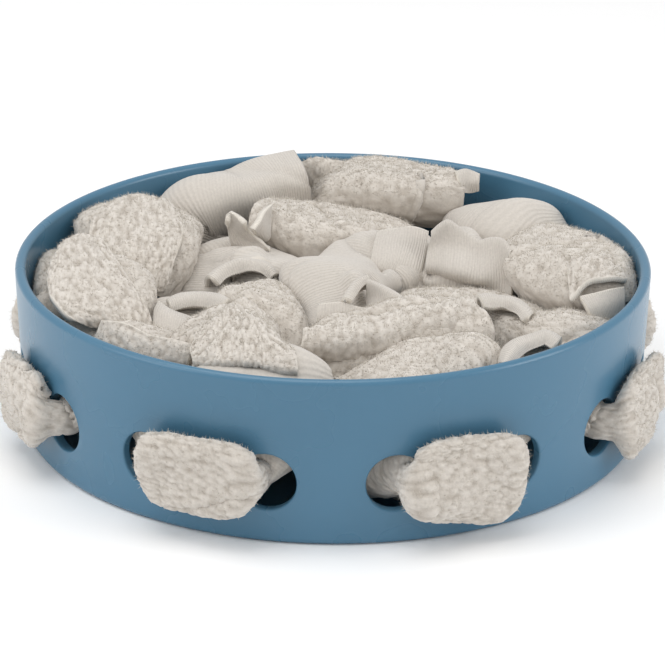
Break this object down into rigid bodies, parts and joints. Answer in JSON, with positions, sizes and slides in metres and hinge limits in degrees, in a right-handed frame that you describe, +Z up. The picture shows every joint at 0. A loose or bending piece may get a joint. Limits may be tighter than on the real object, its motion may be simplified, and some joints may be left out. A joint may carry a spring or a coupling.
{
  "type": "snuffle bowl with fleece strips",
  "caption": "Round plastic snuffle bowl with holes in its wall and teddy fleece strips threaded through them, their ends rolled up loosely inside.",
  "frame": {"origin": "middle of the bowl's underside", "axes": "+Z up out of the bowl, -Y towards the side that the picture shows"},
  "size_m": [0.295, 0.2974, 0.0775],
  "materials": {
    "plastic": "satin blue moulded plastic",
    "fleece": "warm light grey teddy fleece, curly pile on one side and brushed knit on the other"
  },
  "bodies": {
    "root": {"bowl": "plastic", "strip_1": "fleece", "strip_2": "fleece", "strip_3": "fleece", "strip_4": "fleece", "strip_5": "fleece", "strip_6": "fleece", "strip_7": "fleece", "strip_8": "fleece"}
  },
  "joints": []
}
